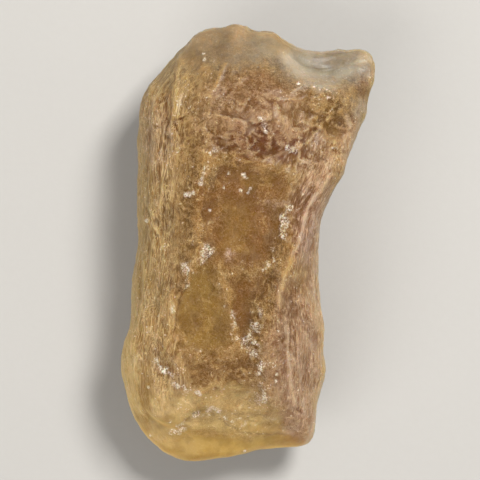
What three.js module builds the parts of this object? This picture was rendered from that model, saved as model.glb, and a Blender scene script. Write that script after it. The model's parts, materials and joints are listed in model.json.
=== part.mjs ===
// Raw desert glass: one lump of natural glass, carved and frosted by blown sand, lying on its broad back.
// Millimetres. +Y runs along the lump, +X across it and +Z up, away from the surface that it rests on.
// The origin lies under the middle of the lump, on that surface.

import * as THREE from 'three';
import { mergeVertices } from 'three/addons/utils/BufferGeometryUtils.js';
import { ImprovedNoise } from 'three/addons/math/ImprovedNoise.js';

// Driving dimensions
const LENGTH = 64.1;
const WIDTH = 37.2;
const THICKNESS = 21.0;
const SPLITS = 19; // cuts along each edge of the starting ball: 20 * (SPLITS + 1)^2 triangles

// The outline seen from above, clockwise from the left of the top end. The horn is the corner at top right.
const OUTLINE = [
  [-7.1, 31.4], [-3.4, 31.7], [-1.3, 32.1], [0.4, 31.1], [3.0, 31.1], [6.5, 29.3], [10.5, 28.6],
  [16.1, 28.7], [18.0, 27.6], [18.6, 25.6], [18.2, 23.4], [17.4, 21.2], [17.4, 19.2], [16.4, 16.2],
  [14.2, 11.4], [12.2, 7.8], [10.7, 4.5], [10.1, 0.8], [10.1, -3.5], [10.4, -7.9], [10.9, -12.3],
  [11.0, -16.2], [11.2, -19.2], [10.3, -22.4], [10.2, -25.0], [9.6, -28.1], [8.1, -29.6], [2.1, -30.2],
  [-4.0, -31.5], [-8.4, -32.1], [-11.8, -31.2], [-14.6, -29.0], [-16.8, -25.2], [-18.2, -20.4],
  [-18.5, -17.6], [-17.5, -11.5], [-16.6, -4.0], [-16.2, 5.6], [-16.1, 14.0], [-15.7, 19.0],
  [-14.9, 22.5], [-13.1, 25.0], [-9.6, 29.3],
];
const CORE = [-3.5, 4.0]; // the point that every part of the outline can be seen from
const OUTLINE_START = 85; // degrees, the side of the ball that is drawn out to the first point of the outline

// How the thickness is shared, as [y, millimetres]: the rise of the top over the widest line, the drop of
// the underside below it, and the height of the widest line over the resting surface.
const RISE = [[-32, 9.2], [-22, 10.0], [-8, 11.2], [5, 11.8], [17, 11.6], [26, 11.0], [32, 10.0]];
const DROP = [[-32, 7.4], [-20, 8.8], [0, 9.8], [15, 9.6], [26, 9.4], [32, 8.6]];
const WAIST = [[-32, 7.4], [-18, 8.2], [4, 9.4], [20, 9.9], [32, 10.6]];

// The horn thins out towards the top right.
const HORN = { x: [3, 17], y: [9, 25], thinsTop: 0.5, thinsUnderside: 0.62, lifts: 0.4 };

// How squarely the section turns over at its edge. The right flank is the steep one.
const ROUND_EDGE = 2.1;
const STEEP_EDGE = 3.4;
const STEEP_FLANK = { x: [0, 9], y: [-16, -4, 10, 20] }; // x is counted from the core
const BELT_SHARE = 0.7; // below 1, the triangles gather on the broad faces rather than round the edge

// Hollows of the upper face: rim 1 has a crisp edge, rim 2 runs out softly.
const HOLLOWS = [
  { what: 'upper pool', at: [-0.4, 3.8], half: [6.6, 7.6], turn: 0, depth: 2.1, rim: 1.2 },
  { what: 'lower pool', at: [-6.6, -9.6], half: [4.6, 7.2], turn: 8, depth: 1.8, rim: 1.2 },
  { what: 'narrow pool', at: [-0.3, -8.4], half: [2.8, 6.6], turn: -6, depth: 1.4, rim: 1.3 },
  { what: 'neck between the pools', at: [-2.2, -3.1], half: [5.2, 4.4], turn: 0, depth: 0.8, rim: 1.4 },
  { what: 'pitted slope', at: [3.2, 13.8], half: [5.0, 3.8], turn: -15, depth: 1.0, rim: 1.2 },
  { what: 'horn scar', at: [11.6, 26.2], half: [6.6, 3.8], turn: -4, depth: 2.5, rim: 1.0 },
  { what: 'horn scallop', at: [12.4, 17.7], half: [2.9, 2.6], turn: 20, depth: 0.7, rim: 1.0 },
  { what: 'inner scallop', at: [8.0, 18.2], half: [3.2, 2.2], turn: -30, depth: 0.6, rim: 1.0 },
  { what: 'flank scallop', at: [8.2, 12.2], half: [2.6, 2.0], turn: 30, depth: 0.6, rim: 1.0 },
  { what: 'left toe scoop', at: [-10.1, -23.4], half: [3.9, 2.7], turn: 5, depth: 0.7, rim: 1.0 },
  { what: 'middle toe scoop', at: [-2.1, -22.6], half: [4.6, 2.5], turn: -4, depth: 0.8, rim: 1.0 },
  { what: 'left shoulder groove', at: [-12.0, 17.5], half: [1.5, 6.4], turn: -3, depth: 0.6, rim: 1.4 },
  { what: 'left flank groove', at: [-12.4, 3.0], half: [1.6, 6.0], turn: 2, depth: 0.5, rim: 1.4 },
  { what: 'left waist groove', at: [-13.2, -9.0], half: [1.7, 6.4], turn: 5, depth: 0.5, rim: 1.4 },
  { what: 'left hip groove', at: [-12.2, -17.2], half: [2.0, 3.6], turn: 10, depth: 0.6, rim: 1.4 },
];

// Raised crests of the upper face, each along a line of points.
const CRESTS = [
  {
    what: 'left crest',
    height: 0.7,
    spread: 1.3,
    line: [[-5.7, 13.6], [-6.6, 8.8], [-7.2, 5.0], [-6.8, 0.0], [-7.6, -2.6], [-10.2, -8.0], [-11.2, -15.5]],
  },
  {
    what: 'right crest',
    height: 0.9,
    spread: 1.5,
    line: [
      [15.4, 19.5], [12.2, 12.4], [9.0, 6.0], [7.4, 0.4], [5.0, -5.3],
      [3.8, -9.7], [2.8, -15.0], [3.4, -24.0],
    ],
  },
  {
    what: 'divider of the pools',
    height: 0.6,
    spread: 1.0,
    line: [[-3.6, -5.6], [-2.4, -10.0], [-1.8, -14.0]],
  },
  {
    what: 'scar rim',
    height: 0.7,
    spread: 1.0,
    line: [[5.0, 27.2], [6.8, 24.6], [9.9, 22.9], [13.4, 22.9], [16.0, 24.6]],
  },
  { what: 'shoulder rib', height: 0.4, spread: 0.8, line: [[-9.8, 26.6], [-10.3, 21.0], [-11.0, 16.6]] },
  { what: 'crown rib', height: 0.4, spread: 0.9, line: [[-3.4, 26.4], [-4.2, 23.2], [-5.4, 20.2]] },
];

// Ledges: the surface steps down on the right of each line, going along it, and climbs back over the fade.
const LEDGES = [
  {
    what: 'over the upper pool',
    drop: 0.9,
    run: 0.7,
    fade: 4.0,
    line: [[-5.4, 10.0], [-2.8, 11.6], [-0.2, 11.6], [2.1, 10.3], [4.8, 9.2], [7.0, 9.8]],
  },
  {
    what: 'under the horn',
    drop: 0.8,
    run: 0.6,
    fade: 3.5,
    line: [[10.8, 17.6], [9.6, 15.4], [8.2, 13.8], [6.0, 12.4]],
  },
  {
    what: 'over the toe',
    drop: 1.3,
    run: 0.7,
    fade: 9.0,
    line: [
      [-13.6, -25.6], [-11.0, -26.8], [-8.6, -25.2], [-6.2, -24.1], [-3.6, -24.8], [-0.4, -27.0],
      [4.4, -27.8],
    ],
  },
];

// Shallow sand-blown scoops of the underside and the flanks below the widest line.
const UNDERSIDE_SCOOPS = [
  { what: 'belly scoop', at: [-8.5, 11.0], half: [5.4, 6.8], turn: 12, depth: 1.1, rim: 1.2 },
  { what: 'head scoop', at: [1.5, 21.5], half: [6.2, 4.8], turn: -20, depth: 1.2, rim: 1.2 },
  { what: 'waist scoop', at: [6.2, -4.5], half: [3.4, 6.4], turn: -6, depth: 1.0, rim: 1.2 },
  { what: 'hip scoop', at: [-11.5, -9.0], half: [4.2, 6.0], turn: 10, depth: 1.0, rim: 1.2 },
  { what: 'toe scoop', at: [-2.0, -24.5], half: [6.0, 3.8], turn: 8, depth: 1.0, rim: 1.2 },
];

// Swells, lumps and lengthwise flutes left by the wind: the noise's size, height and starting place.
const SWELL = { size: 9.0, height: 0.75, start: 4.3 };
const LUMPS = { size: 3.6, height: 0.3, start: 7.1 };
const FLUTES = { across: 2.4, along: 17.0, depth: 0.84, start: 2.7 };
const FLUTED_FACES = { most: 1.25, lessBy: 1.1, least: 0.12 }; // share of the flutes' depth, by steepness
const RIM_BLEND = [0.02, 0.3]; // how far up the ball, and down it, the relief of each face comes in
const UNDERSIDE_SWELL = 1.25; // the underside rolls a little more than the top

// Colour and finish, read from the daylight side of the lump.
const GLASS_COLOUR = 0xa08a5c;
const GLASS_ROUGHNESS = 0.5;

const noise = new ImprovedNoise();
const { clamp, degToRad, euclideanModulo, lerp, smoothstep } = THREE.MathUtils;

/** Reads a table of [position, value] pairs at a position, easing between them. */
function readTable(table, position) {
  const last = table.length - 1;
  if (position <= table[0][0]) return table[0][1];
  if (position >= table[last][0]) return table[last][1];
  const k = table.findIndex(([at]) => at > position);
  const [fromAt, from] = table[k - 1];
  const [toAt, to] = table[k];
  return lerp(from, to, smoothstep(position, fromAt, toAt));
}

/** The outline as a closed curve. */
function makeOutline() {
  const corners = OUTLINE.map(([x, y]) => new THREE.Vector3(x, y, 0));
  return new THREE.CatmullRomCurve3(corners, true, 'centripetal');
}

/** The outline's offset from the core for one side of the ball, spread evenly along the outline. */
function outlineAt(outline, angle) {
  const share = euclideanModulo((degToRad(OUTLINE_START) - angle) / (2 * Math.PI), 1);
  const point = outline.getPointAt(share);
  return [point.x - CORE[0], point.y - CORE[1]];
}

/** How much a place belongs to the horn, from 0 to 1. */
function hornShare(x, y) {
  return smoothstep(x, ...HORN.x) * smoothstep(y, ...HORN.y);
}

/** Moves one point of the unit ball to its place on the smooth lump. */
function placeOnLump(direction, outline) {
  const side = direction.z < 0 ? -1 : 1;
  const rise = Math.pow(Math.abs(direction.z), BELT_SHARE);
  const reach = Math.sqrt(Math.max(0, 1 - rise * rise));
  const angle = Math.atan2(direction.y, direction.x);
  const [dx, dy] = outlineAt(outline, angle);

  const [lowEnd, lowFull, highFull, highEnd] = STEEP_FLANK.y;
  const edgeY = CORE[1] + dy;
  const alongFlank = smoothstep(edgeY, lowEnd, lowFull) * (1 - smoothstep(edgeY, highFull, highEnd));
  const edge = lerp(ROUND_EDGE, STEEP_EDGE, alongFlank * smoothstep(dx, ...STEEP_FLANK.x));
  const size = Math.pow(Math.pow(reach, edge) + Math.pow(rise, edge), 1 / edge);
  const x = CORE[0] + dx * (reach / size);
  const y = CORE[1] + dy * (reach / size);

  const horn = hornShare(x, y);
  const waist = readTable(WAIST, y) + HORN.lifts * horn;
  const up = readTable(RISE, y) * (1 - HORN.thinsTop * horn);
  const down = readTable(DROP, y) * (1 - HORN.thinsUnderside * horn);
  const height = (side > 0 ? up : -down) * (rise / size);
  return new THREE.Vector3(x, y, waist + height);
}

/** Depth of one hollow at a place seen from above. */
function hollowDepth({ at, half, turn, depth, rim }, x, y) {
  const t = degToRad(turn);
  const dx = x - at[0];
  const dy = y - at[1];
  const u = (dx * Math.cos(t) + dy * Math.sin(t)) / half[0];
  const v = (dy * Math.cos(t) - dx * Math.sin(t)) / half[1];
  const inside = 1 - (u * u + v * v);
  return inside > 0 ? depth * Math.pow(inside, rim) : 0;
}

/** The nearest point of a line of points: how far it is, on which side, and whether it is past an end. */
function nearestOnLine(line, x, y) {
  let best = { distance: Infinity, toRight: 0, end: 0 };
  for (let k = 0; k + 1 < line.length; k += 1) {
    const [ax, ay] = line[k];
    const [bx, by] = line[k + 1];
    const sx = bx - ax;
    const sy = by - ay;
    const share = ((x - ax) * sx + (y - ay) * sy) / (sx * sx + sy * sy);
    const held = clamp(share, 0, 1);
    const distance = Math.hypot(x - ax - held * sx, y - ay - held * sy);
    if (distance >= best.distance) continue;
    const beforeStart = k === 0 ? Math.max(0, -share) : 0;
    const afterEnd = k + 2 === line.length ? Math.max(0, share - 1) : 0;
    const end = (beforeStart + afterEnd) * Math.hypot(sx, sy);
    best = { distance, toRight: Math.sign((x - ax) * sy - (y - ay) * sx), end };
  }
  return best;
}

/** Height of one crest at a place seen from above. */
function crestHeight({ line, height, spread }, x, y) {
  const { distance } = nearestOnLine(line, x, y);
  return height * Math.exp(-((distance / spread) ** 2));
}

/** How far one ledge steps down at a place seen from above. */
function ledgeDrop({ line, drop, run, fade }, x, y) {
  const { distance, toRight, end } = nearestOnLine(line, x, y);
  const past = distance * toRight;
  const climbsBack = Math.exp(-Math.max(0, past) / fade);
  const endsSoftly = Math.exp(-((2 * end / fade) ** 2));
  return drop * smoothstep(past, -run, run) * climbsBack * endsSoftly;
}

/** Swells, lumps and lengthwise flutes, which cover the whole lump. */
function windRelief(place, flank, swellScale) {
  const { x, y, z } = place;
  const swell = noise.noise(x / SWELL.size, y / SWELL.size, z / SWELL.size + SWELL.start);
  const lumps = noise.noise(x / LUMPS.size, y / LUMPS.size, z / LUMPS.size + LUMPS.start);
  const flutes = noise.noise(x / FLUTES.across, y / FLUTES.along, z / FLUTES.across + FLUTES.start);
  return swell * SWELL.height * swellScale + lumps * LUMPS.height - Math.abs(flutes) * FLUTES.depth * flank;
}

/** Relief of the upper face, measured along its normal. */
function upperRelief(x, y) {
  const hollows = HOLLOWS.reduce((sum, hollow) => sum + hollowDepth(hollow, x, y), 0);
  const crests = CRESTS.reduce((sum, crest) => sum + crestHeight(crest, x, y), 0);
  const ledges = LEDGES.reduce((sum, ledge) => sum + ledgeDrop(ledge, x, y), 0);
  return crests - hollows - ledges;
}

/** The lump: a ball of triangles drawn out to the outline, carved, and set down on its resting spots. */
function makeLump() {
  const ball = new THREE.IcosahedronGeometry(1, SPLITS);
  ball.deleteAttribute('normal');
  ball.deleteAttribute('uv');
  const geometry = mergeVertices(ball, 1e-5);
  const points = geometry.attributes.position;
  const outline = makeOutline();
  const direction = new THREE.Vector3();
  const upward = [];
  for (let i = 0; i < points.count; i += 1) {
    direction.fromBufferAttribute(points, i).normalize();
    upward.push(direction.z);
    points.setXYZ(i, ...placeOnLump(direction, outline).toArray());
  }
  geometry.computeVertexNormals();

  const smoothPlaces = points.clone();
  const normals = geometry.attributes.normal;
  const place = new THREE.Vector3();
  const normal = new THREE.Vector3();
  for (let i = 0; i < points.count; i += 1) {
    place.fromBufferAttribute(smoothPlaces, i);
    normal.fromBufferAttribute(normals, i);
    const { x, y } = place;
    const facesUp = smoothstep(upward[i], ...RIM_BLEND);
    const facesDown = smoothstep(-upward[i], ...RIM_BLEND);
    const flank = clamp(FLUTED_FACES.most - Math.abs(normal.z) * FLUTED_FACES.lessBy, FLUTED_FACES.least, 1);
    const scoops = UNDERSIDE_SCOOPS.reduce((sum, scoop) => sum + hollowDepth(scoop, x, y), 0);
    const relief = windRelief(place, flank, lerp(1, UNDERSIDE_SWELL, facesDown))
      + upperRelief(x, y) * facesUp
      - scoops * facesDown;
    place.addScaledVector(normal, relief);
    place.z = Math.max(0, place.z);
    points.setXYZ(i, place.x, place.y, place.z);
  }
  return geometry;
}

/** Sizes the lump to its driving dimensions and sets it on the origin. */
function setDown(geometry) {
  geometry.computeBoundingBox();
  const { min, max } = geometry.boundingBox;
  geometry.translate(-(min.x + max.x) / 2, -(min.y + max.y) / 2, -min.z);
  geometry.scale(WIDTH / (max.x - min.x), LENGTH / (max.y - min.y), THICKNESS / (max.z - min.z));
  geometry.deleteAttribute('normal');
  return geometry;
}

const glass = new THREE.MeshStandardMaterial({
  name: 'frosted_glass',
  color: GLASS_COLOUR,
  roughness: GLASS_ROUGHNESS,
  metalness: 0,
});

const desertGlass = new THREE.Mesh(setDown(makeLump()), glass);
desertGlass.name = 'desert_glass';

const part = new THREE.Group();
part.add(desertGlass);

export default part;
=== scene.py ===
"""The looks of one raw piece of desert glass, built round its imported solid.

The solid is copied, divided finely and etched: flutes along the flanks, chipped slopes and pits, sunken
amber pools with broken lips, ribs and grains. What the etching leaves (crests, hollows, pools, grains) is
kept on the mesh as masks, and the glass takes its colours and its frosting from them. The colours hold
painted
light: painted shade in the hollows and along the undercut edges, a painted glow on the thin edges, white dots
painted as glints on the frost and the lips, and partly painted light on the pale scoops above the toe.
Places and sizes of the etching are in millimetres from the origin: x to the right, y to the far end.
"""

import json

import bmesh
import bpy
import numpy as np
from bpy.props import FloatProperty, FloatVectorProperty, IntProperty, PointerProperty
from bpy.types import Operator, Panel, PropertyGroup
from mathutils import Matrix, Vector, noise

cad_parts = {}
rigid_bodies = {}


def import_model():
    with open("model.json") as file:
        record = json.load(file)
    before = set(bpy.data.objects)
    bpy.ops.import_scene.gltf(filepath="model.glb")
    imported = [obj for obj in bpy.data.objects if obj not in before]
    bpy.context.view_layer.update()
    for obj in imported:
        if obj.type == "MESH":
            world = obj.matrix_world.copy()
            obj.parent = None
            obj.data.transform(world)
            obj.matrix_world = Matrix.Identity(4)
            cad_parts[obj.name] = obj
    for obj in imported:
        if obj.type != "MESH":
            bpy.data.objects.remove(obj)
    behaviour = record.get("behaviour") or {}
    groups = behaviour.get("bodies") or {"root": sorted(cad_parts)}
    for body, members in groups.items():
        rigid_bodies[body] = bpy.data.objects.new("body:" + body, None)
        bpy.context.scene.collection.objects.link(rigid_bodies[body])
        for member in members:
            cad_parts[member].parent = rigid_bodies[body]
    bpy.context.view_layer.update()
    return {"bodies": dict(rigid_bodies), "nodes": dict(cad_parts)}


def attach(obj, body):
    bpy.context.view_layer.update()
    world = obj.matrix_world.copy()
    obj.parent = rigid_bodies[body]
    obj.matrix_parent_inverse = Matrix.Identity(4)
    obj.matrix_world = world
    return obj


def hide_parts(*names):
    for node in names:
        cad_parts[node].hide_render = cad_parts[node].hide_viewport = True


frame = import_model()

bl_info = {
    "name": "Raw Desert Glass",
    "version": (1, 0, 0),
    "blender": (4, 5, 0),
    "location": "3D View > Sidebar > Desert Glass",
    "description": "Etches, frosts and colours one raw piece of desert glass round its packed solid",
    "category": "Add Mesh",
}

SOLID_NODE = "desert_glass"

# Millimetres in a metre, and how close the solid's corners lie that are welded, in metres
MM = 1000.0
WELD_DISTANCE = 1e-6

# The bar that the flutes run along once the two edges are drawn straight
FLOW_ROWS = 160
FLOW_SMOOTHING = 9
FLOW_HALF_WIDTH = 16.0
FLOW_HALF_HEIGHT = 9.0
FLOW_LEAST_HALF = 5.0

# Smooth sunken pools of the top side
POOLS = {
    "upper": [
        (-4.8, 10.8), (-2.0, 10.6), (0.0, 11.0), (2.5, 10.4), (5.5, 9.6), (6.2, 8.0), (5.2, 5.6),
        (4.9, 4.0), (4.6, 2.5), (4.7, 1.0), (4.2, 0.0), (3.4, -1.2), (2.9, -2.6), (2.0, -3.4), (-1.0, -3.8),
        (-5.0, -3.4), (-5.8, -1.6), (-6.1, 0.0), (-6.2, 2.0), (-6.9, 4.0), (-7.3, 5.5), (-7.2, 7.8),
        (-5.6, 8.0),
    ],
    "lower": [
        (-8.0, -4.8), (-7.0, -3.5), (-5.5, -3.2), (-4.5, -4.0), (-4.2, -6.0), (-3.5, -7.5), (-2.8, -8.5),
        (-2.2, -10.0), (-2.3, -12.0), (-2.8, -14.5), (-4.5, -15.6), (-7.5, -15.6), (-10.2, -14.8),
        (-10.5, -13.0), (-10.3, -10.5), (-9.0, -6.5),
    ],
    "narrow": [
        (-2.5, -5.0), (0.5, -4.8), (1.5, -4.2), (2.8, -4.3), (2.6, -5.5), (2.0, -7.5), (1.0, -8.0),
        (0.0, -8.6), (0.2, -9.5), (0.5, -10.8), (-0.2, -13.0), (-0.8, -14.0), (-1.4, -13.0), (-1.4, -11.5),
        (-1.8, -10.0), (-2.4, -8.5),
    ],
}

# Jagged lips that the frost breaks along, each with the size of its crumbs
JAGGED_LIPS = {
    "left of the pools": (0.24, [
        (-6.2, -0.6), (-6.0, -2.5), (-7.0, -2.8), (-8.5, -3.0), (-8.6, -4.5), (-9.0, -5.5), (-9.5, -6.3),
        (-10.0, -8.0), (-10.6, -9.4),
    ]),
    "right of the narrow pool": (0.27, [
        (0.4, -8.8), (0.9, -10.5), (1.4, -12.0), (0.4, -13.0), (0.6, -14.5), (1.6, -16.0), (1.8, -17.5),
        (2.3, -18.2), (2.5, -20.5), (2.5, -22.4),
    ]),
    "above the red pits": (0.2, [(2.2, 17.2), (3.4, 15.9)]),
    "below the red pits": (0.2, [(5.2, 14.3), (6.2, 13.3)]),
    "left of the upper pool": (0.13, [(-2.8, 14.2), (-5.4, 13.4), (-5.8, 11.4), (-6.5, 9.0)]),
    "divider": (0.22, [(-2.1, -9.6), (-1.8, -11.6), (-2.0, -13.4), (-1.0, -14.4)]),
    "right of the upper pool": (0.17, [
        (6.0, 5.4), (5.2, 4.0), (5.0, 1.6), (4.6, -0.4), (3.6, -2.2), (2.6, -3.8),
    ]),
    "toe": (0.16, [
        (-9.2, -26.6), (-7.0, -24.6), (-5.2, -24.0), (-3.8, -24.8), (-2.0, -25.6), (0.2, -26.0),
        (3.2, -25.4),
    ]),
    "left toe": (0.2, [(-11.4, -26.4), (-10.6, -27.2), (-9.6, -27.0)]),
    "left heel": (0.2, [(-12.8, -17.2), (-11.8, -18.2), (-10.6, -20.0), (-9.0, -21.0)]),
}

# The right shoulder, which a pale band and a rib follow
RIGHT_SHOULDER = [
    (12.0, 10.0), (10.5, 8.0), (9.0, 6.0), (8.2, 3.8), (7.8, 2.0), (7.3, 0.0), (6.0, -2.5), (5.2, -4.5),
    (5.0, -6.0), (4.6, -9.0),
]

# Pale frosted bands, each with its width and strength
PALE_BANDS = {
    "scar wall": (1.1, 0.4, [(5.4, 27.6), (6.2, 26.0), (7.4, 24.8), (9.0, 24.0), (10.8, 23.5)]),
    "scar foot": (0.8, 0.3, [(10.8, 23.5), (12.6, 23.9), (14.0, 24.8)]),
    "horn cheek": (0.9, 0.9, [(14.4, 25.2), (15.8, 25.6), (16.8, 27.0)]),
    "horn top": (0.3, 0.7, [(9.0, 29.2), (12.0, 28.9), (15.0, 29.0), (17.0, 28.4), (18.2, 26.6)]),
    "striated band": (0.6, 0.6, [(-8.8, 24.0), (-9.0, 21.5), (-9.2, 19.5)]),
    "left root": (0.4, 0.9, [
        (-12.2, 8.0), (-12.8, 4.4), (-14.4, 3.3), (-13.0, 1.9), (-12.2, 0.6), (-12.1, -0.6),
    ]),
    "left shoulder": (0.35, 0.5, [(-10.4, 12.0), (-10.6, 8.0), (-11.2, 5.4)]),
    "right shoulder": (0.3, 0.8, RIGHT_SHOULDER),
    "right flank": (0.25, 0.8, [
        (5.4, -10.5), (5.6, -14.0), (6.0, -18.0), (6.3, -19.8), (6.6, -22.0), (6.8, -24.0),
    ]),
    "chevron": (0.22, 0.9, [(-7.2, -21.8), (-6.4, -21.4), (-4.6, -20.1), (-3.2, -21.3)]),
    "toe curve": (0.22, 0.9, [(-1.3, -24.0), (-0.9, -22.8), (0.2, -21.9), (1.2, -21.5)]),
    "toe lip": (0.3, 0.4, [(-9.4, -26.6), (-7.2, -25.4), (-5.0, -23.6), (-3.6, -24.4), (-2.0, -25.3)]),
}

# Undercut edges darkened with painted shadow, each with its width
PAINTED_EDGE_SHADOWS = {
    "over the toe": (0.16, [
        (-9.3, -26.0), (-8.3, -25.1), (-6.6, -24.2), (-5.8, -24.0), (-4.5, -25.3), (-2.5, -26.2),
        (-1.0, -27.2), (1.2, -27.6), (4.5, -27.6), (5.5, -28.0),
    ]),
    "left of the lower pool": (0.22, [
        (-8.4, -4.2), (-9.3, -6.8), (-10.2, -9.8), (-10.5, -13.0), (-10.2, -14.6),
    ]),
    "under the horn": (0.3, [(10.4, 16.2), (9.2, 14.4), (8.2, 13.6), (6.8, 13.0)]),
    "right of the narrow pool": (0.12, [
        (2.5, -5.6), (1.9, -7.6), (0.3, -8.9), (0.4, -10.8), (-0.6, -13.2),
    ]),
    "right of the upper pool": (0.22, [(5.8, 5.2), (4.8, 3.9), (4.6, 1.6), (4.2, -0.4), (3.2, -2.2)]),
    "left of the upper pool": (0.2, [(-5.7, -0.6), (-5.5, -2.4), (-6.4, -3.0)]),
}

# Raised ribs, each with its width and height
RIBS = {
    "left of the crown": (0.3, 0.2, [
        (-9.9, 28.0), (-10.0, 25.0), (-10.2, 21.5), (-10.5, 19.0), (-11.0, 17.0), (-11.5, 15.8),
    ]),
    "under the crown": (0.3, 0.24, [(-3.2, 26.0), (-3.9, 24.4), (-4.6, 22.5), (-5.6, 21.3)]),
    "scar rim": (0.75, 0.3, [
        (5.6, 26.8), (7.2, 24.8), (8.8, 23.8), (10.5, 23.0), (12.5, 23.3), (14.0, 24.4), (15.5, 25.2),
        (17.3, 26.8),
    ]),
    "under the horn": (0.28, 0.3, [(10.6, 17.2), (9.5, 15.3), (8.5, 14.4), (7.0, 13.8)]),
    "horn scallop": (0.24, 0.1, [(12.2, 19.0), (13.6, 19.1), (14.7, 18.0), (14.8, 16.5), (13.9, 14.6)]),
    "right shoulder": (0.34, 0.3, RIGHT_SHOULDER),
    "right flank": (0.26, 0.26, [
        (5.5, -12.0), (5.7, -15.5), (6.0, -18.0), (6.3, -19.8), (6.6, -22.0), (6.8, -23.5),
    ]),
    "left flank": (0.26, 0.26, [(-12.2, 11.5), (-12.2, 8.0), (-12.6, 4.5), (-14.4, 3.3)]),
    "left root": (0.22, 0.24, [(-14.0, 3.2), (-13.0, 1.9), (-12.3, 1.0), (-12.1, -0.5)]),
    "left wave": (0.24, 0.22, [(-12.5, -11.8), (-12.0, -13.0), (-11.8, -15.0), (-12.2, -16.2)]),
    "chevron": (0.26, 0.26, [(-6.8, -21.5), (-4.6, -20.1), (-3.2, -21.3)]),
    "right of the toe": (0.26, 0.26, [(-1.2, -23.8), (-0.9, -22.8), (0.2, -21.9), (1.2, -21.5)]),
}

# Grains that stand alone: x, y, radius
GRAINS = [
    (-0.6, 9.8, 0.42), (-0.2, 9.4, 0.28), (-2.6, 10.0, 0.3), (-1.0, 7.6, 0.3), (0.1, 7.3, 0.32),
    (0.4, 7.9, 0.22), (-3.4, 8.0, 0.2), (-5.0, 7.9, 0.2), (-6.5, 9.3, 0.34), (-6.7, 8.6, 0.34),
    (-6.2, 10.0, 0.24), (-8.8, 7.0, 0.32), (-8.2, 7.0, 0.36), (-7.7, 7.2, 0.26), (-5.3, 4.7, 0.22),
    (7.9, 7.0, 0.26), (2.2, -3.8, 0.24), (3.0, -3.0, 0.3), (-7.2, -21.4, 0.4), (-6.8, -21.8, 0.26),
    (-12.5, -10.3, 0.24), (-10.8, -9.3, 0.22), (4.2, -18.8, 0.26), (4.1, -19.8, 0.24), (-14.3, -20.8, 0.24),
    (-14.1, -28.0, 0.22), (-0.4, -30.4, 0.24), (-14.4, 3.3, 0.3), (-6.4, 27.6, 0.22), (-6.3, 26.8, 0.24),
    (7.3, 23.0, 0.3), (9.6, 22.5, 0.26), (11.6, 21.0, 0.24), (12.4, 21.2, 0.22), (5.5, 13.5, 0.22),
    (-5.4, 12.8, 0.26), (4.5, 10.1, 0.22), (2.6, 16.0, 0.3),
]

# Etched pits of the top side: x, y, radius, depth
PITS = [
    (1.5, 15.0, 1.2, 0.45), (3.2, 13.6, 1.5, 0.5), (2.5, 16.8, 0.8, 0.25), (8.0, 13.3, 1.2, 0.4),
    (7.5, 16.5, 0.9, 0.35), (9.8, 16.3, 0.9, 0.35), (1.8, 12.8, 0.9, 0.3), (-0.9, 11.6, 0.7, 0.3),
    (12.6, 13.0, 0.8, 0.35), (-10.0, 17.5, 0.9, 0.35), (-14.3, 4.7, 0.6, 0.3), (7.8, -24.2, 0.8, 0.3),
    (-9.5, -15.0, 1.0, 0.25), (0.3, -26.8, 0.8, 0.3), (12.8, 16.8, 2.0, 0.2), (0.3, 31.0, 0.6, 0.25),
    (-2.4, 14.2, 1.1, 0.3), (5.4, 18.4, 1.2, 0.25), (-6.4, 15.4, 1.2, 0.25), (-1.5, -19.5, 1.6, 0.25),
    (-6.2, -18.2, 1.5, 0.25),
]

# Smooth, quiet, eased, unfluted and pitted places of the top side: x, y, half width, half length, strength
SMOOTH_SCAR = [(11.5, 26.5, 7.6, 3.4, 1.0)]
SMOOTH_TOE = [
    (-12.0, -27.0, 4.5, 2.2, 0.9), (-6.0, -30.2, 10.0, 2.4, 1.0), (4.5, -29.4, 5.0, 1.7, 1.0),
    (-15.0, -24.0, 2.2, 6.5, 0.6),
]
QUIET_FACES = [
    (-10.4, -23.6, 3.8, 2.4, 0.7), (-3.0, -23.0, 3.6, 1.7, 0.6), (-16.8, -19.0, 1.6, 9.0, 0.6),
    (16.6, 23.0, 1.6, 2.6, 0.7), (4.5, 24.0, 5.0, 3.0, 0.4), (-2.0, -26.2, 8.0, 2.0, 0.6),
]
EASED_FACES = [(-2.0, 25.5, 8.5, 5.0, 0.9), (11.5, 26.2, 6.0, 3.0, 0.6), (-1.0, -27.0, 10.5, 3.3, 0.95)]
UNFLUTED = [
    (-2.0, -1.0, 9.5, 33.0, 1.0), (13.0, 22.0, 6.0, 8.0, 1.0), (4.0, 26.0, 12.0, 6.0, 1.0),
    (-3.0, -25.0, 11.0, 6.0, 0.8),
]
PITTED_SLOPES = [(3.0, 15.5, 11.0, 6.0, 1.0), (-4.0, -18.5, 9.0, 4.0, 0.5)]

# Where the frost lies thickest: x, y, half width, half length, strength
FROSTED_FACES = [
    (0.3, 17.6, 3.2, 1.7, 0.15), (-3.8, 21.8, 1.2, 2.2, 0.4), (4.0, 21.6, 1.6, 0.6, 0.6),
    (16.2, 19.5, 1.0, 1.8, 0.7), (-5.6, 11.0, 1.3, 3.0, 0.6), (-2.2, -1.4, 1.3, 0.5, 0.8),
    (3.8, 6.0, 2.4, 0.5, 0.8), (7.6, 26.0, 2.2, 1.2, 0.6), (-9.0, 21.4, 0.6, 2.4, 0.6),
    (15.8, 25.6, 1.0, 1.4, 0.7), (-3.0, -23.0, 3.8, 1.7, 1.0), (-10.4, -23.6, 3.0, 1.6, 0.3),
    (6.5, 16.0, 1.4, 1.4, 0.4), (-8.6, -17.5, 2.4, 1.6, 0.3),
]

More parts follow.
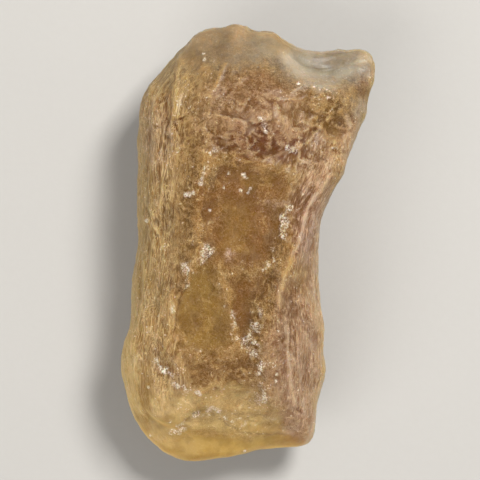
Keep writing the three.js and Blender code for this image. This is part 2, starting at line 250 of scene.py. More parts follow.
# Where each colour of the glass gathers on the top side: x, y, half width, half length, strength
GATHERINGS = {
    "milk": [
        (-3.0, 30.0, 9.5, 6.2, 1.0), (2.5, 28.0, 4.0, 3.2, 0.8), (-9.5, 26.0, 4.0, 4.0, 0.7),
        (11.0, 26.5, 9.0, 4.4, 1.0), (16.0, 21.0, 3.0, 6.0, 0.7),
    ],
    "ice": [
        (11.5, 26.2, 7.6, 4.2, 1.0), (15.8, 25.6, 1.6, 1.6, 0.6), (2.6, 28.4, 3.0, 1.9, 0.5),
        (16.2, 19.4, 1.2, 2.0, 0.5),
    ],
    "lilac": [
        (0.3, 17.6, 3.0, 1.7, 0.6), (-3.8, 21.5, 1.1, 1.6, 0.6), (4.0, 21.6, 1.6, 0.5, 0.8),
        (16.2, 19.5, 1.0, 1.6, 0.6), (2.0, 5.0, 1.0, 0.6, 0.5), (3.8, 6.0, 1.0, 0.5, 0.7),
        (5.6, 5.8, 0.7, 0.5, 0.7), (-2.2, -1.4, 1.3, 0.55, 1.0), (14.8, 14.0, 2.0, 5.0, 0.5),
        (10.6, -2.0, 2.6, 12.0, 0.6), (8.6, 3.0, 2.4, 7.5, 0.9), (11.5, 26.0, 7.6, 3.6, 0.8),
        (-3.0, 30.0, 9.0, 3.6, 0.3), (7.5, -17.0, 4.0, 11.0, 0.7), (8.0, -26.0, 3.4, 4.0, 0.7),
        (-13.0, 15.0, 2.5, 5.0, 0.35),
    ],
    "rose": [
        (10.2, 3.0, 3.2, 14.0, 0.85), (7.2, -16.5, 4.4, 12.0, 0.9), (8.0, -26.0, 3.6, 4.0, 0.9),
        (15.0, 15.0, 2.4, 5.0, 0.6), (1.0, 18.8, 8.5, 5.8, 0.6), (0.0, 17.6, 4.5, 2.4, 0.8),
        (5.0, 14.5, 6.0, 3.0, 0.6), (-4.0, 16.0, 4.0, 3.0, 0.4),
    ],
    "red": [
        (3.0, 14.4, 7.0, 3.2, 1.0), (3.2, 13.6, 1.7, 1.1, 1.0), (1.5, 15.0, 1.2, 0.9, 0.9),
        (8.2, 13.2, 1.6, 1.1, 0.9), (7.4, 16.6, 1.1, 0.9, 0.5), (9.9, 16.2, 0.9, 1.1, 0.5),
        (-2.8, 15.0, 1.6, 1.4, 0.5), (3.0, 20.2, 2.6, 0.9, 0.6), (-12.0, 19.0, 1.0, 3.6, 0.5),
        (-10.0, 17.5, 0.9, 1.1, 0.7), (16.8, 23.0, 1.1, 1.9, 0.6), (7.8, -24.2, 1.0, 1.0, 0.5),
        (9.0, -16.0, 1.4, 5.0, 0.25), (-10.4, -14.0, 0.8, 0.9, 0.5),
    ],
    "amber": [
        (7.4, 10.2, 1.8, 1.6, 0.7), (-1.5, -15.3, 1.6, 1.5, 0.7), (-9.6, -14.0, 1.2, 1.2, 0.6),
        (-7.0, -17.4, 6.5, 3.2, 0.75), (-1.0, -17.6, 3.4, 3.2, 0.75), (0.3, -26.8, 1.2, 0.6, 0.7),
        (1.8, 0.5, 1.8, 2.0, 0.5), (-0.8, 4.0, 7.6, 9.0, 0.4), (-0.4, -9.0, 3.6, 7.0, 0.3),
        (-10.2, -6.0, 1.4, 2.6, 0.4), (1.0, 22.0, 7.0, 3.0, 0.35), (6.8, 2.0, 2.2, 7.5, 0.9),
        (4.0, -15.0, 2.4, 6.0, 0.3), (-9.3, -26.2, 1.6, 0.8, 0.4), (6.0, 11.5, 2.0, 1.2, 0.5),
    ],
    "umber": [
        (-5.2, 9.2, 1.4, 1.5, 0.9), (-4.4, 5.6, 1.8, 1.0, 0.5), (3.8, 4.8, 1.3, 1.5, 0.9),
        (3.4, 0.2, 1.3, 2.4, 0.8), (-6.0, 0.4, 0.9, 2.0, 0.7), (1.6, 8.6, 1.6, 0.8, 0.6),
        (-3.4, 3.2, 1.0, 1.6, 0.6), (0.2, -1.8, 2.2, 0.8, 0.5), (-9.6, -6.6, 0.7, 2.4, 0.6),
        (-8.4, -12.6, 1.4, 1.0, 0.4), (6.2, 9.4, 1.0, 0.8, 0.6),
    ],
    "olive": [
        (-6.5, -10.0, 4.4, 6.5, 0.5), (-5.0, -29.2, 12.0, 3.6, 1.0), (-15.0, -23.5, 2.0, 5.4, 0.6),
        (-15.4, -12.0, 2.2, 12.0, 0.25), (3.5, -28.8, 5.0, 1.5, 0.7), (-12.5, -28.5, 3.4, 2.4, 0.8),
        (-15.6, 2.0, 1.6, 14.0, 0.3), (-1.6, 3.2, 2.8, 3.2, 0.45), (1.4, 9.0, 2.6, 1.2, 0.5),
        (-2.0, -0.6, 2.6, 1.2, 0.4),
    ],
    # The pale of the scoops above the toe is partly their frosted colour and partly painted light of the thin
    # toe
    "pale": [
        (-10.4, -23.6, 3.8, 2.2, 1.0), (-3.0, -23.0, 4.4, 2.4, 1.0), (-17.2, -20.0, 1.6, 8.0, 0.8),
        (-0.6, -22.6, 1.8, 1.6, 0.6), (-7.6, -22.6, 2.6, 1.8, 0.8), (-3.0, -29.0, 12.0, 3.0, 0.35),
        (-16.6, -6.0, 1.4, 10.0, 0.15), (-3.0, -25.2, 10.0, 2.4, 0.85), (-12.5, -27.6, 4.0, 3.0, 0.45),
    ],
}

# The colour that each pool deepens, and how strongly
DEEP_COLOURS = {"upper": ("amber", 1.0), "narrow": ("amber", 1.0), "lower": ("olive", 0.6)}

# The noises that the etching follows: feature size in millimetres, seed, layers
NOISES = {
    "edge across": (1.7, 3, 3),
    "edge along": (1.7, 4, 3),
    "wide": (3.5, 16, 3),
    "all over": (1.3, 10, 3),
    "bend": (4.0, 5, 2),
    "lip gaps": (1.5, 43, 3),
    "chip gaps": (2.4, 51, 2),
    "pool waves": (2.6, 13, 2),
}

# The seeds of the noises that have a size among the settings, and how many layers the ridges have
FLUTE_SEED = 1
RIDGE_SEED = 21
RIDGE_LAYERS = 1
CRINKLE_SEED = 31
CHIP_SEED = 8
SMALL_CHIP_SEED = 9

# The rounded cups between the flutes, and the beads of the jagged lips: size in millimetres, seed
CUPS = (1.4, 12)
BEADS = (0.8, 41)
FINE_BEADS = (0.45, 47)

# Where the noise is read for the three parts of a chip's tilt
TILT_SHIFTS = (Vector((0, 0, 0)), Vector((19.3, 4.7, 11.1)), Vector((5.9, 27.1, 16.3)))

# How far the flutes and ridges are drawn out along the flanks, and how much wider apart the ridges lie
FLUTE_STRETCH = (1, 7.5, 1)
RIDGE_STRETCH = (1, 12, 1)
RIDGE_PITCH = 3.5

# Heights of the etching that have no setting, in millimetres
ROUGH_HEIGHT = 0.05
CALM_HEIGHT = 0.012
CUP_HEIGHT = 0.09
BEAD_HEIGHT = 0.13
WAVE_HEIGHT = 0.06
GRAIN_HEIGHT = 0.16
MOST_EASING = 0.8

# How many times the points take their neighbours' mean, from the closest surroundings to the widest
CLOSE_ROUNDS = 4
FAR_ROUNDS = 60
WIDE_ROUNDS = 200

# How much further than its line a wide edge strays, and how far the crumbs of a jagged lip spread
WIDE_STRAY = 1.8
LIP_SPREAD = 3.4

# Where along the stone an effect fades in, from the first row to the second, in millimetres
FADES = {
    "crown": (20.0, 28.5),
    # The painted shade of the hollows is lighter above the toe and on it, where the glass is thin
    "light hollows above the toe": (-14.0, -16.5),
    "light hollows at the toe": (-19.5, -22.5),
    "frost of the flanks": (6.0, -14.0),
    "less frost on the pink": (12.0, 6.0),
    # The painted glow of the thin edges grows towards the toe
    "thin edges": (6.0, -20.0),
}

# How calm the glass lies on the crown, in the pools and on the lip of the toe
CROWN_CALM = 0.85
POOL_CALM = 0.72
LIP_CALM = 0.95

# A band narrower than this also draws a thin line, and the line is this much narrower than the band
NARROW_BAND = 0.45
THIN_LINE = 2.4

# What the etching leaves on the mesh, besides the places where the colours gather; the hollows' mask is
# painted shade, and the thin edges' mask a painted glow
MARKS = ("frost", "hollow", "jagged", "crumbs", "calm", "smooth", "facet", "thin", "rims", "flank")

# The mottlings: cloud scale, grain scale, contrast
MOTTLINGS = {
    "patches": (420.0, 4200.0, 0.36),
    "streaks": (0.7, 3.4, 0.65),
    "hues": (1100.0, 2400.0, 0.4),
    "floor": (9.0, 900.0, 0.6),
}
HUE_SHIFT = (0.03, 0.01, 0.02)

# The thin lines of the frost: scale, width
HAIRLINES = {
    "long": (1.0, 0.03),
    "strands": (1.7, 0.032),
    "fine": (2.4, 0.08),
    "wisps": (900.0, 0.03),
    "frizz": (2300.0, 0.08),
}

# The streaks and the lines of the flanks are drawn out by squeezing the place that they are read at
STREAK_SQUEEZE = (1.0, 0.24, 1.0)
LINE_SQUEEZE = (1.0, 0.13, 1.0)

# The white dots painted as glints: how dense their cells are, how dense the noise that they stray by, and how
# far, in metres
GLINT_SPECK_SCALE = 2700.0
JITTER_SCALE = 2600.0
GLINT_SPECK_STRAY = 0.0007

# The finish that has no setting: depths of the bumps in metres, and how the glass shines and scatters
BUMP_DEPTH = 0.00028
FLOOR_BUMP_DEPTH = 0.0002
FLOOR_SHADE = 0.93
COAT_ROUGHNESS = 0.3
SPECULAR_LEVEL = 0.05
SCATTERED = 0.7
SCATTER_RADII = (1.0, 0.62, 0.28)

# The camera looks straight down on the stone's middle, and sees this much of the plane of its widest points
VIEW_MIDDLE = (-1.07, 0.51)
VIEW_WIDTH = 70.07
WIDEST_HEIGHT = 9.5
SENSOR = 36.0
NEAREST_SEEN = 0.01

# The lights' sizes and their places from the stone's middle, in metres, and the colour of the sky
KEY_SIZE, KEY_PLACE = 0.2, Vector((0.25, 0.3, 0.5))
FILL_SIZE, FILL_PLACE = 0.6, Vector((-0.4, -0.45, 0.4))
SKY_COLOUR = (1.0, 0.98, 0.96, 1.0)
FLOOR_DROP = 0.0001


def tint(red, green, blue):
    """A linear colour from its three display values, 0 to 255."""
    shares = (value / 255 for value in (red, green, blue))
    return tuple(share / 12.92 if share <= 0.04 else ((share + 0.055) / 1.055) ** 2.4 for share in shares)


def colour_setting(name, description, *values):
    """A colour that a user can change, from its three display values."""
    return FloatVectorProperty(
        name=name, description=description, default=tint(*values), size=3, min=0, max=1, subtype="COLOR",
    )


def length_setting(name, description, metres):
    """A small length that a user can change."""
    return FloatProperty(name=name, description=description, default=metres, precision=5, subtype="DISTANCE")


class StoneSizes(PropertyGroup):
    """Sizes of the etched relief."""

    divisions: IntProperty(
        name="Divisions", description="How many times the solid's faces are divided", default=2, min=0, max=2,
    )
    flute_pitch: length_setting("Flute pitch", "Distance between two flutes on a flank", 0.00085)
    flute_height: length_setting("Flute height", "How far a flute's crest stands above its trough", 0.00016)
    crinkle_size: length_setting("Crinkle size", "Width of the hackly crinkles between the flanks", 0.0009)
    crinkle_height: length_setting("Crinkle height", "How far the crinkles' sharp crests stand up", 0.00018)
    chip_size: length_setting("Chip size", "Width of the chipped facets of the pitted slope", 0.0026)
    chip_depth: length_setting("Chip depth", "How steeply the chipped facets tilt", 0.0003)
    pool_depth: length_setting("Pool depth", "How far the smooth pools are sunk below their lips", 0.00018)
    ragged_edge: length_setting("Ragged edge", "How far an etched edge strays from its line", 0.0006)


class GlassLook(PropertyGroup):
    """Colours and optics of the glass."""

    body: colour_setting("Body", "The glass where nothing else shows", 116, 79, 28)
    milk: colour_setting("Milk", "The smooth milky crown", 99, 88, 70)
    lilac: colour_setting("Lilac", "The frost where it turns lilac", 186, 158, 134)
    red: colour_setting("Red", "The reddish pits", 98, 40, 8)
    ice: colour_setting("Ice", "The grey glass of the scar", 128, 120, 100)
    rime: colour_setting("Rime", "The grey frost of the scar", 152, 146, 127)
    rose: colour_setting("Rose", "The pinkish right flank", 124, 78, 44)
    amber: colour_setting("Amber", "The clear dark pools", 110, 60, 6)
    olive: colour_setting("Olive", "The yellow-green glass of the thin toe", 156, 120, 42)
    # Pale: partly the scoops' frosted colour, partly painted light on the thin toe
    pale: colour_setting("Pale", "The pale scoops above the toe", 206, 179, 116)
    frost: colour_setting("Frost", "The frosted crests", 174, 136, 80)
    line: colour_setting("Line", "The thin worn lines", 234, 204, 150)
    blush: colour_setting("Blush", "The thin lines where the frost turns lilac", 224, 192, 166)
    # This brown is painted shade in the hollows and along the undercut edges, and also the umber patches,
    # clouds, chips and speckle
    deep_brown_and_shade: colour_setting("Deep", "The warm brown of the hollows", 84, 46, 10)
    # The white of the crumbs and grains, and of the white dots painted as glints
    crumb_and_glint: colour_setting("Crumb", "The white crumbs of the lips", 255, 245, 228)
    # Glow: painted light on the thin edges that face sideways, as if light came through the glass
    glow: colour_setting("Glow", "The thin edges, where light comes through", 214, 176, 104)
    transmission: FloatProperty(
        name="Transmission", description="Share of the light that enters the glass", default=0.3,
        min=0, max=1, subtype="FACTOR",
    )
    ior: FloatProperty(name="IOR", description="Refractive index of silica glass", default=1.46, min=1, max=2)
    glow_depth: FloatProperty(
        name="Glow depth", description="How far light spreads under the frosted skin", default=0.005,
        min=0, precision=4, subtype="DISTANCE",
    )
    absorption: colour_setting(
        "Absorption colour", "Colour of light that has passed through the glass", 236, 206, 130,
    )
    density: FloatProperty(
        name="Absorption density", description="How fast the glass takes up light, per metre", default=40,
        min=0, max=1000,
    )


class StageLook(PropertyGroup):
    """The floor, the lights and the camera."""

    floor_size: FloatProperty(
        name="Floor size", description="Width of the floor", default=1.6, min=0.1, subtype="DISTANCE",
    )
    floor_colour: colour_setting("Floor colour", "Colour of the pale floor", 153, 150, 145)
    key_power: FloatProperty(
        name="Key power", description="Power of the main light", default=7.5, subtype="POWER",
    )
    fill_power: FloatProperty(
        name="Fill power", description="Power of the side light", default=5.6, subtype="POWER",
    )
    sky: FloatProperty(name="Sky", description="Strength of the light from all round", default=0.35, min=0)
    lens: FloatProperty(name="Lens", description="Focal length", default=250.0, min=20, unit="CAMERA")


def steps(low, high, value):
    """A smooth step from 0 at low to 1 at high, which may be the lower number."""
    share = np.clip((value - low) / (high - low), 0.0, 1.0)
    return share * share * (3 - 2 * share)


def ripple(places, size, seed, layers=1):
    """Smooth noise of the given feature size, about -1 to 1."""
    shifted = np.asarray(places) / size + seed * 7.31
    if layers == 1:
        return np.array([noise.noise(place) for place in shifted.tolist()])
    return np.array([noise.fractal(place, 0.9, 2.1, layers) for place in shifted.tolist()])


def crests(places, size, seed, layers=3):
    """Noise that rises to sharp crest lines, ever finer, 0 in the troughs to 1 on the lines."""
    total = np.zeros(len(places))
    reach = 0.0
    for layer in range(layers):
        share = 0.62 ** layer
        lines = np.clip(1 - 2.4 * np.abs(ripple(places, size / 1.9 ** layer, seed + layer)), 0, 1) ** 1.4
        total += share * lines
        reach += share
    return total / reach


def cups(places, size, seed):
    """Scallops side by side: 0 at each cup's middle, rising to sharp borders of about 1."""
    shifted = np.asarray(places) / size + seed * 3.17
    nearest = np.array([noise.voronoi(place)[0][0] for place in shifted.tolist()])
    return np.clip(nearest / 0.85, 0, 1) ** 2


def flakes(places, size, seed):
    """Chipped facets side by side: their tilted heights, 1 on their borders, and a tone for each, 0 to 1."""
    shifted = np.asarray(places) / size + seed * 5.23
    rows = []
    for place in shifted.tolist():
        (first, second, _, _), (middle, _, _, _) = noise.voronoi(place)
        tilt = Vector([noise.noise(middle * 3.7 + shift) for shift in TILT_SHIFTS])
        rows.append((tilt.dot(Vector(place) - middle), second - first, noise.noise(middle * 2.9)))
    heights, gaps, tones = np.array(rows).T
    return heights * size, np.exp(-(gaps / 0.07) ** 2), np.clip(0.5 + 0.9 * tones, 0, 1)


def line_distance(spots, line):
    """Distance of each spot from a line of points."""
    line = np.asarray(line, float)
    nearest = np.full(len(spots), np.inf)
    for start, end in zip(line[:-1], line[1:]):
        way = end - start
        share = np.clip((spots - start) @ way / (way @ way), 0, 1)
        nearest = np.minimum(nearest, np.linalg.norm(spots - start - share[:, None] * way, axis=1))
    return nearest


def beside(spots, line, width):
    """1 on a line of points, falling off smoothly over the width beside it."""
    return np.exp(-(line_distance(spots, line) / width) ** 2)


def outline_distance(spots, outline):
    """Distance of each spot from a closed outline, negative inside it."""
    closed = outline + outline[:1]
    inside = np.zeros(len(spots), bool)
    x, y = spots.T
    for (ax, ay), (bx, by) in zip(closed[:-1], closed[1:]):
        if ay != by:
            crosses = (ay > y) != (by > y)
            inside ^= crosses & (x < (bx - ax) * (y - ay) / (by - ay) + ax)
    distance = line_distance(spots, closed)
    return np.where(inside, -distance, distance)


def gathered(spots, places):
    """How strongly a colour gathers at each spot, from its ellipses."""
    total = np.zeros(len(spots))
    for x, y, half_width, half_length, strength in places:
        reach = np.hypot((spots[:, 0] - x) / half_width, (spots[:, 1] - y) / half_length)
        total = np.maximum(total, strength * steps(1.3, 0.55, reach))
    return total


class Surface:
    """The fine mesh as arrays, in millimetres, with the etching that is worked on it."""

    def __init__(self, mesh):
        self.mesh = mesh
        self.points = self.read("co") * MM
        self.edges = np.zeros(len(mesh.edges) * 2, np.int32)
        mesh.edges.foreach_get("vertices", self.edges)
        self.edges = self.edges.reshape(-1, 2)
        self.normals = self.read("normal")
        self.low = self.points.min(0)
        self.high = self.points.max(0)
        self.masks = {}

    def read(self, field):
        """One of the mesh's fields, as a row of three for each point."""
        flat = np.zeros(len(self.mesh.vertices) * 3, np.float32)
        self.mesh.vertices.foreach_get(field, flat)
        return flat.reshape(-1, 3).astype(float)

    def spread(self, values, rounds):
        """The values after each point has taken its neighbours' mean the given number of times."""
        count = np.bincount(self.edges.ravel(), minlength=len(values))
        start, end = self.edges.T
        columns = values.reshape(len(values), -1).astype(float)
        for _ in range(rounds):
            sums = [
                np.bincount(start, column[end], len(count)) + np.bincount(end, column[start], len(count))
                for column in columns.T
            ]
            columns = np.stack([total / count for total in sums], 1)
        return columns.reshape(values.shape)

    def standing_out(self, rounds):
        """How far each point stands out of its surroundings, which more rounds make wider."""
        return np.einsum("ij,ij->i", self.points - self.spread(self.points, rounds), self.normals)

    def flow(self):
        """Each point's place in a straight bar: across between the stone's edges, along it, and in height."""
        x, y, z = self.points.T
        row = ((y - self.low[1]) / (self.high[1] - self.low[1]) * (FLOW_ROWS - 1)).astype(int)
        middles = []
        rows = np.linspace(self.low[1], self.high[1], FLOW_ROWS)
        window = np.ones(FLOW_SMOOTHING) / FLOW_SMOOTHING
        ends = FLOW_SMOOTHING // 2
        for values in (x, z):
            lowest = np.full(FLOW_ROWS, np.inf)
            highest = np.full(FLOW_ROWS, -np.inf)
            np.minimum.at(lowest, row, values)
            np.maximum.at(highest, row, values)
            lowest, highest = (
                np.convolve(np.pad(side, ends, "edge"), window, "valid") for side in (lowest, highest)
            )
            middle = (lowest + highest) / 2
            half = np.maximum((highest - lowest) / 2, FLOW_LEAST_HALF)
            middles.append((values - np.interp(y, rows, middle)) / np.interp(y, rows, half))
        across, up = middles
        return np.stack([across * FLOW_HALF_WIDTH, y, up * FLOW_HALF_HEIGHT], 1)

    def push(self, heights):
        """Moves the points along their normals, and keeps them in the solid's box and off the floor."""
        self.points = np.clip(self.points + self.normals * heights[:, None], self.low, self.high)

    def write(self):
        """Puts the points and the masks into the mesh."""
        self.mesh.vertices.foreach_set("co", (self.points / MM).astype(np.float32).ravel())
        for name, values in self.masks.items():
            kind, field = ("FLOAT", "value") if values.ndim == 1 else ("FLOAT_VECTOR", "vector")
            attribute = self.mesh.attributes.new(name, kind, "POINT")
            attribute.data.foreach_set(field, values.astype(np.float32).ravel())
        self.mesh.update()


def fine_copy(node, divisions):
    """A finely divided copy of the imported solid, as a new object."""
    stone = node.copy()
    stone.data = node.data.copy()
    stone.name = stone.data.name = "etched_glass"
    for key in list(stone.keys()):
        del stone[key]
    stone.parent = None
    bpy.context.scene.collection.objects.link(stone)
    welded = bmesh.new()
    welded.from_mesh(stone.data)
    bmesh.ops.remove_doubles(welded, verts=welded.verts, dist=WELD_DISTANCE)
    welded.to_mesh(stone.data)
    welded.free()
    divide = stone.modifiers.new("divide", "SUBSURF")
    divide.levels = divide.render_levels = divisions
    bpy.context.view_layer.update()
    fine = bpy.data.meshes.new_from_object(stone.evaluated_get(bpy.context.evaluated_depsgraph_get()))
    stone.modifiers.clear()
    coarse = stone.data
    stone.data = fine
    bpy.data.meshes.remove(coarse)
    fine.name = "etched_glass"
    for attribute in [item for item in fine.attributes if not item.is_required and not item.is_internal]:
        fine.attributes.remove(attribute)
    fine.shade_smooth()
    return stone


class Etching:
    """Where each kind of glass lies on a surface, as shares from 0 to 1, and the relief that it gets."""

    def __init__(self, surface, sizes):
        self.surface = surface
        self.sizes = sizes
        self.points = surface.points
        self.flat = surface.points[:, :2]
        self.flow = surface.flow()
        self.level = surface.normals[:, 2]
        self.top = steps(0.02, 0.4, self.level)
        self.upper = 0.4 + 0.6 * steps(-0.8, 0.1, self.level)
        self.side = steps(0.45, 0.0, self.level)
        edges = [self.waves("edge across"), self.waves("edge along")]
        self.stray = np.stack(edges, 1) * sizes.ragged_edge * MM
        self.spots = self.flat + self.stray
        self.wide_spots = self.flat + self.stray * WIDE_STRAY
        self.wide = self.waves("wide")
        self.everywhere = self.waves("all over")
        self.heights = np.zeros(len(self.points))
        self.find_pools()
        self.find_quiet_places()

    def waves(self, name):
        """One of the named noises at every point."""
        return ripple(self.points, *NOISES[name])

    def find_pools(self):
        """The smooth pools, whose edges are crisp beside a jagged lip and soft elsewhere."""
        self.outside = {name: outline_distance(self.spots, outline) for name, outline in POOLS.items()}
        edge = np.minimum.reduce(list(self.outside.values()))
        lip_distance = np.minimum.reduce([line_distance(self.flat, line) for _, line in JAGGED_LIPS.values()])
        self.softness = 1.6 - 1.3 * np.exp(-(lip_distance / 1.1) ** 2) + 0.3 * self.wide
        self.pool = self.top * steps(self.softness, -self.softness, edge)

    def find_quiet_places(self):
        """The places that stay smooth, and those that are fluted or pitted."""
        x, y, _ = self.points.T
        below_crown = y - 0.12 * np.abs(x + 1) + 2.2 * self.wide
        dome = steps(*FADES["crown"], below_crown)
        self.crown = self.top * np.maximum(dome, gathered(self.spots, SMOOTH_SCAR))
        self.lip = gathered(self.spots, SMOOTH_TOE)
        self.quiet = self.top * gathered(self.wide_spots, QUIET_FACES)
        calm = (self.crown * CROWN_CALM, self.pool * POOL_CALM, self.lip * LIP_CALM, self.quiet)
        self.calm = np.clip(np.maximum.reduce(calm), 0, 0.95)
        self.lively = 1 - self.calm * 0.95
        self.pitted = self.top * gathered(self.wide_spots, PITTED_SLOPES)
        self.flank = 1 - np.clip(self.top * gathered(self.flat, UNFLUTED), 0, 1)

    def ease(self):
        """Rounds off the solid's creases on the eased faces."""
        sag = -self.surface.standing_out(WIDE_ROUNDS)
        eased = self.top * gathered(self.flat, EASED_FACES)
        self.surface.push(eased * np.clip(sag, -MOST_EASING, MOST_EASING))

    def flute(self):
        """A faint roughness all over, flutes along the flanks, and hackly crinkles and cups between them."""
        sizes, calm, flank, lively = self.sizes, self.calm, self.flank, self.lively
        self.heights += (1 - calm) * ROUGH_HEIGHT * self.everywhere + calm * CALM_HEIGHT * self.everywhere
        straight = np.zeros(len(self.points))
        bent = self.flow + np.stack([self.waves("bend") * 0.7, straight, straight], 1)
        pitch = sizes.flute_pitch * MM
        flutes = crests(bent / FLUTE_STRETCH, pitch, FLUTE_SEED)
        ridges = crests(bent / RIDGE_STRETCH, pitch * RIDGE_PITCH, RIDGE_SEED, RIDGE_LAYERS)
        crinkle = crests(self.points + self.stray[:, :1] * 0.6, sizes.crinkle_size * MM, CRINKLE_SEED)
        self.heights += lively * flank * sizes.flute_height * MM * (flutes + 0.7 * ridges - 0.6)
        crinkled = lively * (1 - 0.75 * flank) * (1 - 0.55 * self.pitted)
        self.heights += crinkled * sizes.crinkle_height * MM * (crinkle - 0.4)
        self.heights += CUP_HEIGHT * lively * (1 - 0.5 * self.pitted) * (cups(self.points, *CUPS) - 0.5)

    def break_lips(self):
        """Beads of broken glass along the jagged lips, with gaps between them."""
        self.jagged = np.zeros(len(self.points))
        for width, line in JAGGED_LIPS.values():
            self.jagged = np.maximum(self.jagged, beside(self.wide_spots, line, width * LIP_SPREAD))
        self.jagged *= self.top
        self.jagged *= steps(-0.5, 0.35, self.waves("lip gaps"))
        self.beads = np.maximum(1 - cups(self.points, *BEADS), 0.8 - 0.8 * cups(self.points, *FINE_BEADS))
        self.heights += self.jagged * BEAD_HEIGHT * self.beads

    def chip(self):
        """Tilted chips with pale broken borders on the pitted slopes, and fainter ones in the pools."""
        size = self.sizes.chip_size * MM
        level = np.zeros(len(self.points))
        crooked = self.points + np.stack([self.stray[:, 0], self.stray[:, 1], level], 1) * 0.6
        chips, borders, facet = flakes(crooked, size, CHIP_SEED)
        small_chips, small_borders, small_facet = flakes(crooked, size * 0.5, SMALL_CHIP_SEED)
        gaps = steps(-0.25, 0.25, self.waves("chip gaps"))
        hackly = np.maximum(self.pitted * self.lively, 0.45 * self.pool)
        self.heights += hackly * (self.sizes.chip_depth * MM) * (chips + 0.6 * small_chips)
        self.rims = 0.36 * hackly * gaps * np.maximum(borders, 0.6 * small_borders)
        self.facet = 0.6 * facet + 0.4 * small_facet

    def sink(self):
        """The sunken pools, with faint waves in them, and the etched pits with their low rims."""
        swell = WAVE_HEIGHT * self.waves("pool waves")
        self.heights += self.pool * (swell - self.sizes.pool_depth * MM)
        for x, y, radius, depth in PITS:
            reach = np.hypot(self.wide_spots[:, 0] - x, self.wide_spots[:, 1] - y) / radius
            self.heights -= self.top * depth * 0.6 * np.clip(1 - reach ** 2, 0, 1)
            self.heights += self.top * depth * 0.1 * np.exp(-((reach - 1.1) / 0.25) ** 2)

    def raise_ribs_and_grains(self):
        """The raised ribs, and the grains that stand alone."""
        self.ribs = np.zeros(len(self.points))
        for width, height, line in RIBS.values():
            rise = beside(self.flat + self.stray * 0.4, line, width)
            self.heights += self.top * height * rise * (0.75 + 0.5 * self.everywhere)
            self.ribs = np.maximum(self.ribs, rise)
        self.crumbs = np.zeros(len(self.points))
        for x, y, radius in GRAINS:
            reach = np.hypot(self.points[:, 0] - x, self.points[:, 1] - y) / radius
            grain = self.top * steps(1.5, 0.3, reach + 0.4 * self.everywhere)
            self.crumbs = np.maximum(self.crumbs, grain)
        self.heights += GRAIN_HEIGHT * self.crumbs

    def frosting(self, hollow, crest, dark):
        """The frost: thick on the flanks, the pale bands and the crests, thin on the clear dark glass, and
        thinned as painted shade in the hollows and along the undercut edges.
        """
        y = self.points[:, 1]
        bloom = 0.6 * gathered(self.wide_spots, FROSTED_FACES)
        for width, strength, line in PALE_BANDS.values():
            away = line_distance(self.flat + self.stray * 0.5, line) / width
            bloom = np.maximum(bloom, strength * np.exp(-away ** 2))
            if width < NARROW_BAND:
                broken = np.clip(0.55 + 1.1 * self.everywhere, 0, 1)
                thin_line = strength * self.top * broken * np.exp(-(away * THIN_LINE) ** 2)
                self.rims = np.maximum(self.rims, thin_line)
        bloom *= self.upper
        red = self.upper * gathered(self.wide_spots, GATHERINGS["red"])
        amber = self.upper * gathered(self.wide_spots, GATHERINGS["amber"])
        # The frost thins on the pools, the red and amber glass and the toe's lip, and as painted shadow along
        # the undercut edges
        clear = np.maximum.reduce([self.pool, 0.7 * red, self.lip * 0.9, 0.7 * dark * self.top, 0.5 * amber])
        fluted = (0.08 + 0.08 * steps(*FADES["frost of the flanks"], y)) * self.flank
        skin = 0.42 + fluted - 0.05 * self.crown - 0.1 * self.quiet
        frost = skin * (1 - 0.65 * clear)
        pink = self.upper * gathered(self.flat, GATHERINGS["rose"])
        frost -= 0.12 * pink * steps(*FADES["less frost on the pink"], y)
        lifted = 0.6 * bloom + 0.4 * crest * (1 - self.calm)
        frost += lifted - 0.35 * hollow * (1 - self.calm) + 0.3 * self.ribs * self.top
        return np.clip(frost, 0, 1)

    def keep_masks(self):
        """What the etching leaves on the mesh, for the glass to be coloured by: among the rest, painted shade
        in the hollows and along the undercut edges, and a painted glow on the thin edges.
        """
        surface, top, side = self.surface, self.top, self.side
        y = self.points[:, 1]
        close = surface.standing_out(CLOSE_ROUNDS)
        far = surface.standing_out(FAR_ROUNDS)
        far -= surface.spread(far, WIDE_ROUNDS)
        crest = np.clip(np.tanh(close / 0.03), 0, 1)
        # Painted shade: how far each point sinks below its close and its far surroundings, lighter on the
        # thin toe
        sunk = np.clip(-0.45 * np.tanh(close / 0.04) - 0.35 * np.tanh(far / 0.12), 0, 1)
        above_toe = steps(*FADES["light hollows above the toe"], y)
        at_toe = steps(*FADES["light hollows at the toe"], y)
        hollow = (1 - 0.6 * above_toe - 0.25 * at_toe) * sunk
        # Painted shadow along the undercut edges
        dark = np.zeros(len(self.points))
        for width, line in PAINTED_EDGE_SHADOWS.values():
            dark = np.maximum(dark, beside(self.flat + self.stray * 0.6, line, width))
        shade = hollow * (1 - self.calm) * (1 - 0.6 * self.pitted) * (1 - 0.4 * self.flank) * (1 - 0.4 * side)
        smooth = np.maximum.reduce([self.crown, self.lip, 0.55 * side, 0.35 * self.pitted])
        surface.masks = {
            "frost": self.frosting(hollow, crest, dark),
            "hollow": np.maximum(shade, dark * top),
            "jagged": np.clip(self.jagged * (0.35 + 0.65 * self.beads), 0, 1),
            "crumbs": np.clip(self.crumbs, 0, 1),
            "calm": self.calm,
            "smooth": np.clip(smooth, 0, 1),
            "facet": self.facet,
            # Painted glow: faces that turn sideways, strongest towards the toe
            "thin": self.upper * steps(0.85, 0.1, self.level) * (0.3 + 0.7 * steps(*FADES["thin edges"], y)),
            "rims": self.rims,
            "flank": self.flank * (1 - 0.6 * self.crown),
            "flow": self.flow,
        }
        for name, places in GATHERINGS.items():
            surface.masks[name] = self.upper * gathered(self.wide_spots, places)
        for place, (name, strength) in DEEP_COLOURS.items():
            within = steps(self.softness * 1.5, -self.softness * 1.5, self.outside[place])
            surface.masks[name] = np.maximum(surface.masks[name], strength * top * within)


